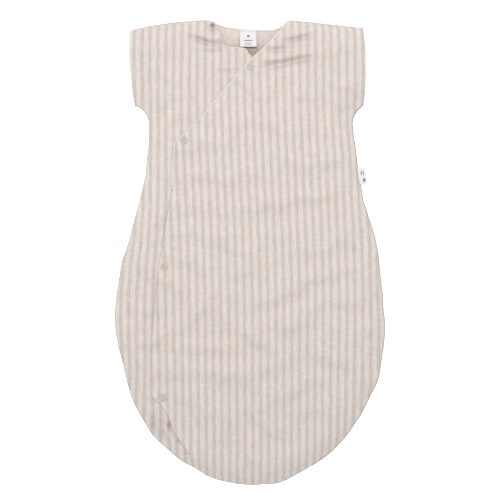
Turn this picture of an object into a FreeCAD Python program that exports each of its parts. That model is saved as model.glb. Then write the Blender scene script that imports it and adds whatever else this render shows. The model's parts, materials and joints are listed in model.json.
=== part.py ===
import FreeCAD, Part
import os
import Sketcher

os.makedirs("parts", exist_ok=True)

# Baby sleeping bag lying flat on its back. X runs across the bag, Y from the
# hem to the neck, Z up from the floor. Lengths are in millimetres.
doc = FreeCAD.newDocument("sleeping_bag")
V = FreeCAD.Vector

# ---------------------------------------------------------------- dimensions
SIZES = {
    # layers of one quilted panel
    "shell_thick": 0.8,
    "wadding_thick": 1.4,
    "lining_thick": 0.8,
    # heights of the undersides of the three panels
    "back_base": 0.0,
    "under_base": 15.0,
    "wrap_base": 18.4,
    "panel_thick": 3.0,
    # room inside the bag between the back and each front panel
    "left_room": 12.0,
    "right_room": 15.4,
    # seams, tapes and bindings
    "seam_inset": -6.0,
    "binding_inset": -3.0,
    "neck_tape_thick": 0.8,
    "sleeve_hem_thick": 0.8,
    # labels
    "neck_label_wide": 25.5,
    "neck_label_long": 25.0,
    "neck_label_thick": 0.6,
    "neck_label_left": -15.0,
    "neck_label_foot": 308.5,
    "neck_label_base": 4.1,
    "side_label_out": 9.5,
    "side_label_long": 25.0,
    "side_label_thick": 1.2,
    "side_label_x": 167.2,
    "side_label_y": 101.5,
    "side_label_base": 9.0,
    "side_label_turn": 9.0,
    # ring snaps
    "snap_ring_out": 5.6,
    "snap_ring_in": 2.6,
    "snap_ring_thick": 0.8,
    "snap_body_out": 5.0,
    "snap_socket_in": 2.8,
    "snap_socket_high": 2.2,
    "snap_socket_deep": 1.8,
    "snap_knob": 2.3,
    "snap_knob_high": 1.9,
    "snap_flange_high": 0.8,
    "snap_hole": 5.05,
}

# Corners of the garment, seen from above.
POINTS = {
    "left_neck": (-59.4, 349.0),
    "left_cuff_top": (-180.6, 332.6),
    "left_cuff_foot": (-173.0, 222.0),
    "left_armpit": (-151.5, 190.0),
    "left_waist": (-167.0, 75.0),
    "left_hip": (-200.0, -90.0),
    "left_hem": (-147.0, -267.0),
    "hem_middle": (0.0, -349.0),
    "right_hem": (151.0, -267.0),
    "right_hip": (200.0, -95.0),
    "right_waist": (171.6, 75.0),
    "right_armpit": (155.0, 190.0),
    "right_cuff_foot": (172.0, 221.0),
    "right_cuff_top": (171.0, 336.4),
    "right_neck": (57.2, 349.0),
    # the wrap front's free edge
    "wrap_bend": (0.0, 287.0),
    "wrap_corner": (-112.0, 165.0),
    "wrap_placket": (-116.0, 92.0),
    "wrap_foot": (-147.0, -208.0),
    "wrap_end": (-86.0, -314.5),
    "wrap_root": (-78.6, -314.5),
    # the under front's free edge
    "under_scoop": (-30.0, 309.0),
    "under_top": (-2.0, 306.0),
    "under_corner": (9.0, 286.0),
    "under_end": (-80.8, -314.5),
    "under_root": (-83.7, -314.5),
    # middles of the four snaps
    "snap_one": (1.5, 276.8),
    "snap_two": (-98.1, 167.2),
    "snap_three": (-127.5, -22.0),
    "snap_four": (-129.4, -216.7),
}

# Radii of the rounded edges.
RADII = {
    "left_shoulder_radius": 550.0,
    "armpit_radius": 30.0,
    "left_side_radius": 420.0,
    "left_flank_radius": 600.0,
    "hip_radius": 308.0,
    "hem_radius": 182.0,
    "right_side_radius": 900.0,
    "back_neck_radius": 133.0,
    "wrap_neck_radius": 219.0,
    "wrap_placket_radius": 1270.0,
    "under_neck_radius": 69.0,
}

SNAPS = ("snap_one", "snap_two", "snap_three", "snap_four")
PLACKET_SNAPS = SNAPS[1:]

# The hinge lines, each given by where it passes far above and far below the
# bag, with the small gap left on both sides of it.
FAR = 360.0
HINGE_GAP = 0.3
WRAP_HINGE = (59.7, -87.8)
UNDER_HINGE = (-58.95, -85.4)


def make_sheet():
    """The spreadsheet that drives every sub-part."""
    sheet = doc.addObject("Spreadsheet::Sheet", "dims")
    cells = dict(SIZES)
    cells.update(RADII)
    for name, (x, y) in POINTS.items():
        cells[name + "_x"] = x
        cells[name + "_y"] = y
    for row, (name, value) in enumerate(cells.items(), 1):
        sheet.set("A%d" % row, name)
        sheet.set("B%d" % row, str(value))
        sheet.setAlias("B%d" % row, name)
    doc.recompute()
    return cells


CELLS = make_sheet()


# ------------------------------------------------------------------- sketches
def arc_middle(start, end, radius, side):
    """The middle of the arc from start to end, bulging to the left of the
    way there if side is 1 and to the right if it is -1."""
    chord = end - start
    half = chord.Length / 2
    rise = radius - (radius**2 - half**2) ** 0.5
    left = V(-chord.y, chord.x, 0).normalize()
    return start + chord * 0.5 + left * (rise * side)


def pin(sketch, edge, end, name):
    """Tie one end of an edge to a named corner in the sheet."""
    for kind, suffix in (("DistanceX", "_x"), ("DistanceY", "_y")):
        value = CELLS[name + suffix]
        index = sketch.addConstraint(Sketcher.Constraint(kind, edge, end, value))
        sketch.setExpression("Constraints[%d]" % index, "dims." + name + suffix)


def outline(label, steps):
    """A closed sketch through named corners. Each step is the corner's name
    and, for a rounded edge to the next corner, its radius and its side."""
    sketch = doc.addObject("Sketcher::SketchObject", label)
    edges = []
    for number, step in enumerate(steps):
        start = V(*POINTS[step[0]], 0)
        end = V(*POINTS[steps[(number + 1) % len(steps)][0]], 0)
        if len(step) == 1:
            edge = sketch.addGeometry(Part.LineSegment(start, end))
            edges.append((edge, 1, 2))
            continue
        middle = arc_middle(start, end, CELLS[step[1]], step[2])
        edge = sketch.addGeometry(Part.Arc(start, middle, end))
        forward = (sketch.getPoint(edge, 1) - start).Length < 1e-3
        edges.append((edge, 1, 2) if forward else (edge, 2, 1))
    for number, step in enumerate(steps):
        edge, first, last = edges[number]
        following = edges[(number + 1) % len(edges)]
        sketch.addConstraint(
            Sketcher.Constraint("Coincident", edge, last, following[0], following[1])
        )
        pin(sketch, edge, first, step[0])
        if len(step) > 1:
            value = CELLS[step[1]]
            index = sketch.addConstraint(Sketcher.Constraint("Radius", edge, value))
            sketch.setExpression("Constraints[%d]" % index, "dims." + step[1])
    return sketch


def polygon(label, corners):
    """A closed wire of straight edges used only to pick part of a layer."""
    wire = doc.addObject("Part::Polygon", label)
    wire.Nodes = [V(x, y, 0) for x, y in corners]
    wire.Close = True
    return wire


def inset(label, sketch, alias):
    """The sketch's outline moved inwards by the sheet's value."""
    moved = doc.addObject("Part::Offset2D", label)
    moved.Source = sketch
    moved.setExpression("Value", "dims." + alias)
    return moved


BAG = outline(
    "bag_outline",
    [
        ("left_neck", "left_shoulder_radius", -1),
        ("left_cuff_top",),
        ("left_cuff_foot", "armpit_radius", 1),
        ("left_armpit", "left_side_radius", 1),
        ("left_waist", "left_flank_radius", -1),
        ("left_hip", "hip_radius", -1),
        ("left_hem", "hem_radius", -1),
        ("hem_middle", "hem_radius", -1),
        ("right_hem", "hip_radius", -1),
        ("right_hip", "left_flank_radius", -1),
        ("right_waist", "right_side_radius", 1),
        ("right_armpit", "armpit_radius", 1),
        ("right_cuff_foot",),
        ("right_cuff_top",),
        ("right_neck", "back_neck_radius", 1),
    ],
)
WRAP_FLAP = outline(
    "wrap_flap_outline",
    [
        ("right_neck", "wrap_neck_radius", 1),
        ("wrap_bend",),
        ("wrap_corner",),
        ("wrap_placket", "wrap_placket_radius", -1),
        ("wrap_foot",),
        ("wrap_end",),
        ("wrap_root",),
    ],
)
UNDER_FLAP = outline(
    "under_flap_outline",
    [
        ("left_neck", "under_neck_radius", -1),
        ("under_scoop",),
        ("under_top",),
        ("under_corner",),
        ("under_end",),
        ("under_root",),
    ],
)
BAG_INSET = inset("bag_inset", BAG, "seam_inset")
WRAP_INSET = inset("wrap_inset", WRAP_FLAP, "binding_inset")
UNDER_INSET = inset("under_inset", UNDER_FLAP, "binding_inset")


def half_plane(label, hinge, side):
    """Everything on one side of a hinge line, short of the line by the gap."""
    top, foot = (x + side * HINGE_GAP for x in hinge)
    edge = 300.0 * side
    return polygon(label, [(top, FAR), (foot, -FAR), (edge, -FAR), (edge, FAR)])


LEFT_OF_UNDER = half_plane("left_of_under", UNDER_HINGE, -1)
RIGHT_OF_UNDER = half_plane("right_of_under", UNDER_HINGE, 1)
LEFT_OF_WRAP = half_plane("left_of_wrap", WRAP_HINGE, -1)
RIGHT_OF_WRAP = half_plane("right_of_wrap", WRAP_HINGE, 1)


# --------------------------------------------------------------------- solids
def slab(wire, base, thick, name="slab"):
    """A plate of the sheet's thickness on a wire, its underside at base."""
    plate = doc.addObject("Part::Extrusion", name)
    plate.Base = wire
    plate.DirMode = "Custom"
    plate.Dir = V(0, 0, 1)
    plate.Solid = True
    plate.setExpression("LengthFwd", thick)
    plate.setExpression("Placement.Base.z", base)
    return plate


def common(a, b, name="common"):
    both = doc.addObject("Part::Common", name)
    both.Base = a
    both.Tool = b
    return both


def cut(a, b, name="cut"):
    rest = doc.addObject("Part::Cut", name)
    rest.Base = a
    rest.Tool = b
    return rest


def drill(plate, points, base, high):
    """Holes for snap bodies through a plate."""
    for point in points:
        hole = doc.addObject("Part::Cylinder", "hole")
        hole.setExpression("Radius", "dims.snap_hole")
        hole.setExpression("Height", high)
        hole.setExpression("Placement.Base.x", "dims.%s_x" % point)
        hole.setExpression("Placement.Base.y", "dims.%s_y" % point)
        hole.setExpression("Placement.Base.z", base)
        plate = cut(plate, hole)
    return plate


def layer(panel, number):
    """Where the shell, wadding or lining of a panel starts, and how thick it
    is. The back is built shell first, the fronts lining first."""
    base = "dims.%s_base" % panel
    order = ("lining", "wadding", "shell")
    if panel == "back":
        order = ("shell", "wadding", "lining")
    for name in order[:number]:
        base += " + dims.%s_thick" % name
    return order[number], base, "dims.%s_thick" % order[number]


SUB_PARTS = []


def finish(solid, label):
    solid.Label = label
    SUB_PARTS.append(solid)
    return solid


def make_fixed_panel(panel, node, region, tape_region=None):
    """Shell, wadding and lining of a panel that is sewn into the seams."""
    for number in range(3):
        kind, base, thick = layer(panel, number)
        wire = BAG_INSET if kind == "wadding" else BAG
        plate = slab(wire, base, thick)
        if region:
            plate = common(plate, slab(region, base, thick))
        if tape_region and kind == "wadding":
            plate = cut(plate, slab(tape_region, base, thick))
        if tape_region and kind == "shell":
            plate = drill(plate, PLACKET_SNAPS, base, thick)
        finish(plate, "%s_%s" % (node, kind))


def make_binding(panel, node, flap, flap_inset, keep, region):
    """The narrow binding along a flap's neck edge."""
    base, thick = "dims.%s_base" % panel, "dims.panel_thick"
    rim = cut(slab(flap, base, thick), slab(flap_inset, base, thick))
    rim = common(rim, slab(region, base, thick))
    return finish(common(rim, slab(keep, base, thick)), node)


def make_flap(panel, node, flap, flap_inset, keep, binding, tape_region, holes):
    """Shell, wadding and lining of a flap, clear of its binding and tape."""
    for number in range(3):
        kind, base, thick = layer(panel, number)
        wire = flap_inset if kind == "wadding" else flap
        plate = common(slab(wire, base, thick), slab(keep, base, thick))
        plate = cut(plate, binding)
        if tape_region and kind == "wadding":
            plate = cut(plate, slab(tape_region, base, thick))
        plate = drill(plate, holes[kind], base, thick)
        finish(plate, "%s_%s" % (node, kind))


def make_tape(panel, node, wire, keep, region, holes):
    """The firm tape in the wadding layer that carries the placket snaps."""
    kind, base, thick = layer(panel, 1)
    plate = common(slab(wire, base, thick), slab(keep, base, thick))
    plate = common(plate, slab(region, base, thick))
    finish(drill(plate, holes, base, thick), node)


def make_seam(node, base, high, region):
    """The joined edges of front and back along part of the outline."""
    rim = cut(slab(BAG, base, high), slab(BAG_INSET, base, high))
    finish(common(rim, slab(region, base, high)), node)


def make_sleeve_hem(node, room, outer_x, inner_x, foot_y, top_y):
    """The turned-in hem inside a sleeve's open end, a flattened tube."""
    corners = [(outer_x[0], foot_y), (outer_x[1], top_y), (inner_x[1], top_y)]
    corners.append((inner_x[0], foot_y))
    block = slab(polygon(node + "_wire", corners), "dims.panel_thick", room)
    hollow = doc.addObject("Part::Box", node + "_hollow")
    hollow.Length = 60
    hollow.Placement.Base = V((outer_x[0] + inner_x[0]) / 2 - 30, 0, 0)
    hollow.setExpression("Placement.Base.y", "%s + dims.sleeve_hem_thick" % foot_y)
    hollow.setExpression("Width", "%s - 2 * dims.sleeve_hem_thick" % (top_y - foot_y))
    hollow.setExpression("Placement.Base.z", "dims.panel_thick + dims.sleeve_hem_thick")
    hollow.setExpression("Height", "%s - 2 * dims.sleeve_hem_thick" % room)
    finish(cut(block, hollow), node)


# --------------------------------------------------------------------- bodies
def origin_plane(body, role):
    return next(o for o in body.Origin.OriginFeatures if o.Role == role)


def new_body(label):
    body = doc.addObject("PartDesign::Body", label)
    SUB_PARTS.append(body)
    return body


def flat_sketch(body, height=None):
    sketch = body.newObject("Sketcher::SketchObject", "profile")
    sketch.AttachmentSupport = (origin_plane(body, "XY_Plane"), "")
    sketch.MapMode = "FlatFace"
    if height:
        sketch.setExpression("AttachmentOffset.Base.z", height)
    return sketch


def add_circle(sketch, radius):
    """A circle about the sketch's origin with its radius from the sheet."""
    circle = Part.Circle(V(0, 0, 0), V(0, 0, 1), CELLS[radius])
    edge = sketch.addGeometry(circle)
    sketch.addConstraint(Sketcher.Constraint("Coincident", edge, 3, -1, 1))
    index = sketch.addConstraint(Sketcher.Constraint("Radius", edge, CELLS[radius]))
    sketch.setExpression("Constraints[%d]" % index, "dims." + radius)


def add_pad(body, sketch, high):
    pad = body.newObject("PartDesign::Pad", "pad")
    pad.Profile = sketch
    pad.setExpression("Length", high)
    return pad


def add_pocket(body, sketch, deep):
    pocket = body.newObject("PartDesign::Pocket", "pocket")
    pocket.Profile = sketch
    pocket.Reversed = True
    pocket.setExpression("Length", deep)
    return pocket


def place(body, point, base):
    body.setExpression("Placement.Base.x", "dims.%s_x" % point)
    body.setExpression("Placement.Base.y", "dims.%s_y" % point)
    body.setExpression("Placement.Base.z", base)


def make_ring(label, point, base):
    """An open ring of a snap, lying on the cloth."""
    body = new_body(label)
    sketch = flat_sketch(body)
    add_circle(sketch, "snap_ring_out")
    add_circle(sketch, "snap_ring_in")
    add_pad(body, sketch, "dims.snap_ring_thick")
    place(body, point, base)


def make_socket(label, point):
    """The female half, let into the wrap front and open downwards."""
    body = new_body(label)
    sketch = flat_sketch(body)
    add_circle(sketch, "snap_body_out")
    add_pad(body, sketch, "dims.snap_socket_high")
    mouth = flat_sketch(body)
    add_circle(mouth, "snap_socket_in")
    add_pocket(body, mouth, "dims.snap_socket_deep")
    place(body, point, "dims.wrap_base")


def make_stud(label, point):
    """The male half: a flange let into the under front and a knob on it."""
    body = new_body(label)
    sketch = flat_sketch(body)
    add_circle(sketch, "snap_body_out")
    add_pad(body, sketch, "dims.snap_flange_high")
    knob = flat_sketch(body, "dims.snap_flange_high")
    add_circle(knob, "snap_knob")
    add_pad(body, knob, "dims.snap_knob_high")
    top = "dims.under_base + dims.panel_thick - dims.snap_flange_high"
    place(body, point, top)


def make_snap(point):
    """One ring snap: two rings outside, a socket and a stud between."""
    wrap_top = "dims.wrap_base + dims.panel_thick"
    make_ring(point + "_cap_ring", point, wrap_top)
    make_socket(point + "_socket", point)
    make_stud(point + "_stud", point)
    make_ring(point + "_back_ring", point, "dims.under_base - dims.snap_ring_thick")


def rectangle(sketch, wide, long):
    """A rectangle from the sketch's origin with its sides from the sheet."""
    x, y = CELLS[wide], CELLS[long]
    corners = [V(0, 0, 0), V(x, 0, 0), V(x, y, 0), V(0, y, 0)]
    for number in range(4):
        ends = corners[number], corners[(number + 1) % 4]
        sketch.addGeometry(Part.LineSegment(*ends))
    for number in range(4):
        after = (number + 1) % 4
        sketch.addConstraint(Sketcher.Constraint("Coincident", number, 2, after, 1))
    for kind, edge in (("Horizontal", 0), ("Vertical", 1), ("Horizontal", 2), ("Vertical", 3)):
        sketch.addConstraint(Sketcher.Constraint(kind, edge))
    sketch.addConstraint(Sketcher.Constraint("Coincident", 0, 1, -1, 1))
    across = sketch.addConstraint(Sketcher.Constraint("DistanceX", 0, 1, 0, 2, x))
    along = sketch.addConstraint(Sketcher.Constraint("DistanceY", 1, 1, 1, 2, y))
    sketch.setExpression("Constraints[%d]" % across, "dims." + wide)
    sketch.setExpression("Constraints[%d]" % along, "dims." + long)


def make_neck_label():
    """The blank woven label, sewn down along its top edge only."""
    body = new_body("neck_label")
    sketch = flat_sketch(body)
    rectangle(sketch, "neck_label_wide", "neck_label_long")
    add_pad(body, sketch, "dims.neck_label_thick")
    body.setExpression("Placement.Base.x", "dims.neck_label_left")
    body.setExpression("Placement.Base.y", "dims.neck_label_foot")
    body.setExpression("Placement.Base.z", "dims.neck_label_base")


def make_side_label():
    """The folded label that stands out of the side seam."""
    body = new_body("side_label")
    sketch = flat_sketch(body)
    rectangle(sketch, "side_label_out", "side_label_long")
    add_pad(body, sketch, "dims.side_label_thick")
    body.setExpression("Placement.Base.x", "dims.side_label_x")
    body.setExpression("Placement.Base.y", "dims.side_label_y")
    body.setExpression("Placement.Base.z", "dims.side_label_base")
    body.setExpression("Placement.Rotation.Angle", "dims.side_label_turn")


# ------------------------------------------------------------------- assembly
UNDER_TAPE = polygon(
    "under_tape_region",
    [(-110, 180), (-86, 180), (-115, -22), (-117, -230), (-142, -230), (-140, -22)],
)
WRAP_TAPE = polygon(
    "wrap_tape_region",
    [(-85, 190), (-95, 90), (-118, -60), (-117, -180), (-108, -240), (-170, -240), (-170, 190)],
)
WRAP_NECK = polygon(
    "wrap_neck_region",
    [(-125, 160), (-104, 160), (8, 278), (58, 330), (58, 352), (-20, 300)],
)
UNDER_NECK = polygon(
    "under_neck_region",
    [(-66, 350), (-62, 338), (-44, 305), (-30, 301), (-4, 299), (2, 284), (14, 284), (-20, 350)],
)


def make_panels():
    make_fixed_panel("back", "back", None)
    make_fixed_panel("under", "under_front", LEFT_OF_UNDER, UNDER_TAPE)
    make_tape("under", "under_placket_tape", BAG, LEFT_OF_UNDER, UNDER_TAPE, ())
    make_fixed_panel("wrap", "wrap_front", RIGHT_OF_WRAP)


def make_flaps():
    binding = make_binding(
        "wrap", "wrap_edge_binding", WRAP_FLAP, WRAP_INSET, LEFT_OF_WRAP, WRAP_NECK
    )
    holes = {"shell": (), "wadding": SNAPS[:1], "lining": SNAPS}
    make_flap(
        "wrap", "wrap_flap", WRAP_FLAP, WRAP_INSET, LEFT_OF_WRAP, binding, WRAP_TAPE, holes
    )
    make_tape(
        "wrap", "wrap_placket_tape", WRAP_INSET, LEFT_OF_WRAP, WRAP_TAPE, PLACKET_SNAPS
    )
    binding = make_binding(
        "under", "under_edge_binding", UNDER_FLAP, UNDER_INSET, RIGHT_OF_UNDER, UNDER_NECK
    )
    holes = {"shell": SNAPS[:1], "wadding": (), "lining": ()}
    make_flap(
        "under", "under_flap", UNDER_FLAP, UNDER_INSET, RIGHT_OF_UNDER, binding, None, holes
    )


def make_seams():
    start = "dims.panel_thick"
    low, high = "dims.left_room", "dims.right_room"
    left = [(-230, 229), (-130, 229), (-130, -60), (-84, -290), (-84, -360), (-230, -360)]
    make_seam("side_seam_left", start, low, polygon("left_region", left))
    right = [(230, 228), (130, 228), (130, -60), (84, -290), (84, -360), (230, -360)]
    make_seam("side_seam_right", start, high, polygon("right_region", right))
    hem = [(-83.7, -360), (-83.7, -280), (83.7, -280), (83.7, -360)]
    make_seam("hem_seam", start, high, polygon("hem_region", hem))
    left = [(-172, 325), (-172, 360), (-62, 360), (-62, 325)]
    make_seam("shoulder_seam_left", start, low, polygon("left_shoulder", left))
    right = [(162, 325), (162, 360), (60, 360), (60, 325)]
    make_seam("shoulder_seam_right", start, high, polygon("right_shoulder", right))
    neck = [(-50, 360), (-50, 320), (50, 320), (50, 360)]
    make_seam("back_neck_tape", start, "dims.neck_tape_thick", polygon("neck_region", neck))
    make_sleeve_hem(
        "sleeve_hem_left", low, (-173.4, -179.8), (-158.4, -164.8), 229.5, 324.5
    )
    make_sleeve_hem("sleeve_hem_right", high, (171.5, 170.8), (156.5, 155.8), 228.5, 327)


make_panels()
make_flaps()
make_seams()
for snap in SNAPS:
    make_snap(snap)
make_neck_label()
make_side_label()
doc.recompute()

for item in doc.Objects:
    if {"Invalid", "Error"} & set(item.State):
        raise RuntimeError("%s: %s" % (item.Name, item.State))
for part in SUB_PARTS:
    if part.Shape.isNull() or not part.Shape.isValid() or not part.Shape.Solids:
        raise RuntimeError("%s is empty or not valid" % part.Label)
    part.Shape.exportStep("parts/%s.step" % part.Label)
print("%d sub-parts written" % len(SUB_PARTS))
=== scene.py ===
import json
import math

import bpy
import numpy as np
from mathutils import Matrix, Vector
from mathutils.bvhtree import BVHTree
from mathutils.geometry import delaunay_2d_cdt
from mathutils.kdtree import KDTree


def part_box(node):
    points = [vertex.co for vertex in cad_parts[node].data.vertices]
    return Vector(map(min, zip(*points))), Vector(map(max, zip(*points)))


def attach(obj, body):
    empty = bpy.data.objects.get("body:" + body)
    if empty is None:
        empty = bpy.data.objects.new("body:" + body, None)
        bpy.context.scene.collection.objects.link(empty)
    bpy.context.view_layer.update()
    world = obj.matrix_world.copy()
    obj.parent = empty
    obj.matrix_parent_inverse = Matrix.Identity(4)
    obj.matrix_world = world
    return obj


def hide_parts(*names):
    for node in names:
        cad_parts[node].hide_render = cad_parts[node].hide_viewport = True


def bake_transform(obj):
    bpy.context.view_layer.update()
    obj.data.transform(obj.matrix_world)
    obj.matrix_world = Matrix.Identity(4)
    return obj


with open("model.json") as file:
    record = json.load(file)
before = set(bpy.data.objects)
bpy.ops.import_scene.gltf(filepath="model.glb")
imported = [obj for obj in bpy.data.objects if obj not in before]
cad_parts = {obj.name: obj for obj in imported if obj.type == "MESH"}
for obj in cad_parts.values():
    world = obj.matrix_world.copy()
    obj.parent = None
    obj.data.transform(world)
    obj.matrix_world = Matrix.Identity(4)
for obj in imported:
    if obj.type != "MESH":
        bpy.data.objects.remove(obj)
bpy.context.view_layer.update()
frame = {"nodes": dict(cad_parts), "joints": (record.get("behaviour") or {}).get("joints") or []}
MM = 0.001


# ------------------------------------------------------------------ the frame
def low(node):
    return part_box(node)[0][2] / MM


def high(node):
    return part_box(node)[1][2] / MM


def hinge(name):
    """A joint's point and direction, in millimetres."""
    joint = next(j for j in frame["joints"] if j["name"] == name)
    return np.array(joint["pos_m"], float) / MM, np.array(joint["axis"], float)


def middle(node):
    a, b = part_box(node)
    return np.array([(a[0] + b[0]) / 2, (a[1] + b[1]) / 2]) / MM


BACK_TOP = high("back_lining")
UNDER_FOOT = low("under_front_lining")
UNDER_TOP = high("under_front_shell")
WRAP_FOOT = low("wrap_front_lining")
WRAP_TOP = high("wrap_front_shell")
LINING = high("wrap_front_lining") - low("wrap_front_lining")
SNAPS = [middle("snap_%s_cap_ring" % n) for n in ("one", "two", "three", "four")]
CLEAR = WRAP_FOOT - UNDER_TOP

# Sizes in millimetres: the hole of a snap's ring, the heights between which the
# fronts end at their seams, how far a panel's edge is rounded, and the width
# of the turned hems of the sleeves.
SNAP_HOLE = 2.3
RIM_FOOT, RIM_TOP = 4.3, 6.6
ROUND_OFF = 1.3
LEFT_HEM_WIDE, RIGHT_HEM_WIDE = 18.0, 13.0

# The corners of the cloth seen from above, in millimetres. They are the
# corners that the CAD's panels have.
LEFT_NECK = (-59.4, 348.5)
LEFT_CUFF_TOP = (-180.3, 332.6)
LEFT_CUFF_FOOT = (-173.0, 222.0)
LEFT_ARMPIT = (-151.5, 190.0)
LEFT_WAIST = (-167.0, 75.0)
LEFT_HIP = (-200.0, -90.0)
LEFT_HEM = (-147.0, -267.0)
HEM_MIDDLE = (0.0, -349.0)
RIGHT_HEM = (151.0, -267.0)
RIGHT_HIP = (200.0, -95.0)
RIGHT_WAIST = (171.6, 75.0)
RIGHT_ARMPIT = (155.0, 190.0)
RIGHT_CUFF_FOOT = (172.0, 221.0)
RIGHT_CUFF_TOP = (171.0, 336.4)
RIGHT_NECK = (57.2, 348.5)
FRONTS_MEET = (-84.0, -326.0)


# -------------------------------------------------------------------- outlines
def arc(start, end, radius=None, side=1, step=2.6):
    """Points from start up to, but not at, end. The arc bulges to the left of
    the way if side is 1, to the right if it is -1, and is straight with no
    radius."""
    start, end = np.array(start, float), np.array(end, float)
    chord = end - start
    length = np.linalg.norm(chord)
    count = max(2, int(round(length / step)))
    t = np.arange(count) / count
    line = start + t[:, None] * chord
    if not radius:
        return line
    left = np.array([-chord[1], chord[0]]) / length
    across = (t - 0.5) * length
    rise = np.sqrt(radius**2 - across**2) - math.sqrt(radius**2 - (length / 2) ** 2)
    return line + side * rise[:, None] * left


def joined(*runs):
    return np.concatenate(runs)


def eased(loop):
    """A closed loop with its sharp corners eased."""
    turn = np.roll(loop, -1, 0) + np.roll(loop, 1, 0) - 2 * loop
    sharp = np.clip(np.linalg.norm(turn, axis=1), 0, 1)[:, None]
    return loop + 0.3 * sharp * turn


LEFT_SHOULDER = arc(LEFT_NECK, LEFT_CUFF_TOP, 550, -1)
LEFT_CUFF = arc(LEFT_CUFF_TOP, LEFT_CUFF_FOOT, 560, -1)
LEFT_SIDE = joined(
    arc(LEFT_CUFF_FOOT, LEFT_ARMPIT, 30, 1),
    arc(LEFT_ARMPIT, LEFT_WAIST, 420, 1),
    arc(LEFT_WAIST, LEFT_HIP, 600, -1),
    arc(LEFT_HIP, LEFT_HEM, 308, -1),
    arc(LEFT_HEM, FRONTS_MEET, 182, -1),
)
RIGHT_SIDE = joined(
    arc(FRONTS_MEET, HEM_MIDDLE, 182, -1),
    arc(HEM_MIDDLE, RIGHT_HEM, 182, -1),
    arc(RIGHT_HEM, RIGHT_HIP, 308, -1),
    arc(RIGHT_HIP, RIGHT_WAIST, 600, -1),
    arc(RIGHT_WAIST, RIGHT_ARMPIT, 900, 1),
    arc(RIGHT_ARMPIT, RIGHT_CUFF_FOOT, 30, 1),
)
RIGHT_CUFF = arc(RIGHT_CUFF_FOOT, RIGHT_CUFF_TOP, 900, -1)
RIGHT_SHOULDER = arc(RIGHT_CUFF_TOP, RIGHT_NECK)
BACK_NECK = joined(
    arc(RIGHT_NECK, (44.7, 337.8), 60, 1),
    arc((44.7, 337.8), (30.0, 334.0), 30, 1),
    arc((30.0, 334.0), (-28.0, 337.6), 500, 1),
    arc((-28.0, 337.6), (-52.5, 345.0), 80, 1),
    arc((-52.5, 345.0), LEFT_NECK, 5, -1),
)

# The wrap front's free edge, from its end on the hem up to the neck.
WRAP_FOOT_EDGE = joined(
    arc(FRONTS_MEET, (-100.5, -288.0), 60, -1),
    arc((-100.5, -288.0), (-114.5, -268.0)),
    arc((-114.5, -268.0), (-135.5, -224.0), 90, -1),
    arc((-135.5, -224.0), (-146.6, -211.0), 20, 1),
)
WRAP_PLACKET_EDGE = joined(
    arc((-146.6, -211.0), (-147.5, -180.0)),
    arc((-147.5, -180.0), (-116.0, 92.0), 1400, 1),
    arc((-116.0, 92.0), (-111.5, 163.0)),
)
WRAP_NECK_EDGE = joined(
    arc((-111.5, 163.0), (-68.0, 206.5)),
    arc((-68.0, 206.5), (0.0, 287.0)),
    arc((0.0, 287.0), RIGHT_NECK, 219, -1),
)
# The under front's free edge, from the left neck down to the hem.
UNDER_NECK_EDGE = joined(
    arc(LEFT_NECK, (-52.0, 340.5), 9, 1),
    arc((-52.0, 340.5), (-39.5, 314.0)),
    arc((-39.5, 314.0), (-34.5, 307.4), 9, -1),
    arc((-34.5, 307.4), (-10.0, 305.8)),
    arc((-10.0, 305.8), (-3.0, 298.5), 8, 1),
    arc((-3.0, 298.5), (7.0, 287.0)),
)
UNDER_INNER_EDGE = arc((7.0, 287.0), (-80.5, -312.0))

BACK_LOOP = joined(
    LEFT_SHOULDER, LEFT_CUFF, LEFT_SIDE, RIGHT_SIDE, RIGHT_CUFF, RIGHT_SHOULDER, BACK_NECK
)
WRAP_LOOP = joined(
    RIGHT_SIDE, RIGHT_CUFF, RIGHT_SHOULDER, WRAP_NECK_EDGE[::-1], WRAP_PLACKET_EDGE[::-1],
    WRAP_FOOT_EDGE[:0:-1],
)
UNDER_LOOP = joined(
    LEFT_SHOULDER, LEFT_CUFF, LEFT_SIDE, arc(FRONTS_MEET, (-80.5, -312.0)),
    UNDER_INNER_EDGE[::-1], UNDER_NECK_EDGE[:0:-1],
)


# ---------------------------------------------------------------------- fields
def evenly(line, step):
    length = np.concatenate([[0], np.cumsum(np.linalg.norm(np.diff(line, axis=0), axis=1))])
    at = np.linspace(0, length[-1], max(2, int(length[-1] / step) + 1))
    return np.stack([np.interp(at, length, line[:, k]) for k in range(line.shape[1])], axis=1)


def nearest(points, line):
    """For each point, how far it is from the line, how far along the line the
    nearest place is, the side it is on (1 for the left of the line's way) and
    the direction to the left of the line there."""
    line = np.asarray(line, float)
    tree = KDTree(len(line))
    for number, (x, y) in enumerate(line):
        tree.insert((x, y, 0), number)
    tree.balance()
    close = np.array([tree.find((x, y, 0))[1] for x, y in points])
    length = np.concatenate([[0], np.cumsum(np.linalg.norm(np.diff(line, axis=0), axis=1))])
    best = None
    for first in (np.maximum(close - 1, 0), np.minimum(close, len(line) - 2)):
        a, span = line[first], line[first + 1] - line[first]
        size = np.linalg.norm(span, axis=1)
        t = np.clip(((points - a) * span).sum(1) / size**2, 0, 1)
        gap = points - a - t[:, None] * span
        left = np.stack([-span[:, 1], span[:, 0]], axis=1) / size[:, None]
        side = np.where((gap * left).sum(1) < 0, -1.0, 1.0)
        here = [np.linalg.norm(gap, axis=1), length[first] + t * size, side, left]
        if best is None:
            best = here
            continue
        better = here[0] < best[0]
        best = [np.where(better if old.ndim == 1 else better[:, None], new, old)
                for new, old in zip(here, best)]
    return best


def closed(loop):
    return np.concatenate([loop, loop[:1]])


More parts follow.
